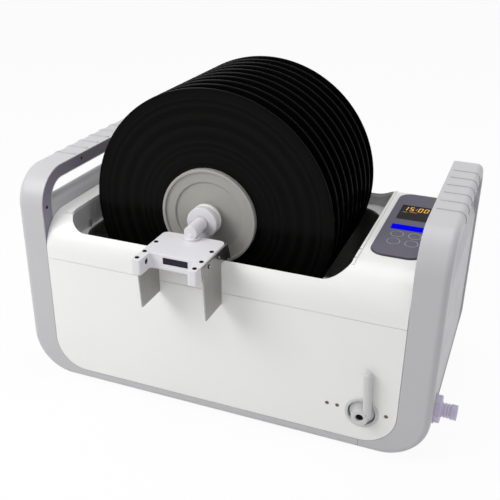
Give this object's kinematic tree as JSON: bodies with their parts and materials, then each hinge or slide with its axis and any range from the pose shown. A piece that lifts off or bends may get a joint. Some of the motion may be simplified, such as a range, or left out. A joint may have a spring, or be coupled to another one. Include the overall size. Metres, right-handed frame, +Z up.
{
  "type": "record cleaning machine",
  "caption": "Tabletop ultrasonic bath that turns gramophone records on a motor-driven spindle, with carrying side frames, touch panel and drain valve.",
  "frame": {"origin": "on the surface that the machine stands on, below the middle of its casing", "axes": "+Z up, +X towards the control panel and the drain barb, -Y towards the user, where the drive unit and the drain lever are"},
  "size_m": [0.5413, 0.3561, 0.3888],
  "materials": {
    "steel": "plain steel",
    "feet_rubber": "matt black",
    "grey_shell": "fine matt warm grey",
    "white_shell": "satin white moulded shell",
    "liner_grey": "matt dark violet grey",
    "screw_steel": "plated",
    "stainless": "drawn and brushed stainless",
    "aluminium": "machined",
    "ceramic": "fired",
    "heater_pad": "silicone pad",
    "circuit_board": "green board",
    "black_plastic": "fine matt black",
    "panel_edge": "dark matt frame",
    "slate_panel": "matt printed foil",
    "display_window": "smoked clear window",
    "blue_bar": "bare blue bar",
    "brass": "plain brass",
    "barb_grey": "matt violet grey",
    "lever_grey": "satin light grey",
    "drive_white": "satin pale grey",
    "hook_steel": "brushed sheet, bright cut edges",
    "flange_grey": "fine matt moulded grey",
    "vinyl": "pressed, grooved and glossy",
    "spacer_black": "matt black"
  },
  "bodies": {
    "casing": {"base_plate": "steel", "feet": "feet_rubber", "bottom_strips": "grey_shell", "front_panel": "white_shell", "rear_panel": "white_shell", "top_cover": "white_shell", "tank_surround": "grey_shell", "basket_pins": "steel", "left_side_frame": "grey_shell", "right_side_frame": "grey_shell", "left_handle_liner": "liner_grey", "right_handle_liner": "liner_grey", "handle_liner_screws": "screw_steel", "casing_screws": "screw_steel", "tank": "stainless", "transducer_horns": "aluminium", "transducer_ceramics": "ceramic", "transducer_back_masses": "steel", "tank_heater": "heater_pad", "generator_board": "circuit_board", "heat_sink": "aluminium", "fan_frame": "black_plastic", "power_inlet": "black_plastic", "switch_bezel": "black_plastic", "control_panel_bezel": "panel_edge", "control_panel": "slate_panel", "display_lens": "display_window", "label_bar": "blue_bar", "control_board": "circuit_board", "drain_elbow": "brass", "valve_body": "brass", "outlet_pipe": "barb_grey", "hose_barb": "barb_grey", "barb_nut": "barb_grey", "valve_escutcheon": "lever_grey"},
    "drain_lever": {"valve_ball": "steel", "valve_lever": "lever_grey", "lever_screw": "screw_steel"},
    "fan_rotor": {"fan_rotor": "black_plastic"},
    "switch_rocker": {"switch_rocker": "black_plastic"},
    "drive_unit": {"drive_housing": "drive_white", "drive_base": "drive_white", "drive_display": "display_window", "left_hook_plate": "hook_steel", "right_hook_plate": "hook_steel", "drive_screws": "screw_steel", "elbow_housing": "drive_white", "gear_motor": "steel", "dc_jack": "black_plastic", "spindle_bushes": "brass"},
    "drive_shaft": {"drive_shaft": "steel"},
    "motor_pinion": {"motor_pinion": "steel"},
    "spindle": {"spindle_shaft": "steel", "lock_hub": "drive_white", "clamp_ring": "white_shell", "front_flange": "flange_grey", "rear_flange": "flange_grey", "rear_nut": "flange_grey", "records": "vinyl", "record_spacers": "spacer_black"}
  },
  "joints": [
    {"name": "drive_unit_lift", "type": "slide", "parent": "casing", "child": "drive_unit", "axis": [0, 0, 1], "range_m": [0, 0.17]},
    {"name": "spindle_spin", "type": "hinge", "parent": "drive_unit", "child": "spindle", "pos_m": [-0.029, 0, 0.238], "axis": [0, 1, 0], "continuous": true},
    {"name": "drive_shaft_turn", "type": "hinge", "parent": "drive_unit", "child": "drive_shaft", "pos_m": [-0.029, -0.1355, 0.22], "axis": [0, 0, 1], "continuous": true},
    {"name": "motor_pinion_turn", "type": "hinge", "parent": "drive_unit", "child": "motor_pinion", "pos_m": [-0.029, -0.1355, 0.22], "axis": [0, 1, 0], "continuous": true},
    {"name": "drain_lever_turn", "type": "hinge", "parent": "casing", "child": "drain_lever", "pos_m": [0.182, -0.145, 0.056], "axis": [0, -1, 0], "range_deg": [0, 90]},
    {"name": "fan_spin", "type": "hinge", "parent": "casing", "child": "fan_rotor", "pos_m": [0.182, 0.132, 0.122], "axis": [0, 1, 0], "continuous": true},
    {"name": "mains_switch_rock", "type": "hinge", "parent": "casing", "child": "switch_rocker", "pos_m": [0.184, 0.1446, 0.05], "axis": [1, 0, 0], "range_deg": [0, 14]}
  ],
  "couplings": [
    {"joint": "drive_shaft_turn", "follows": "spindle_spin", "ratio": 1},
    {"joint": "motor_pinion_turn", "follows": "spindle_spin", "ratio": -1}
  ]
}
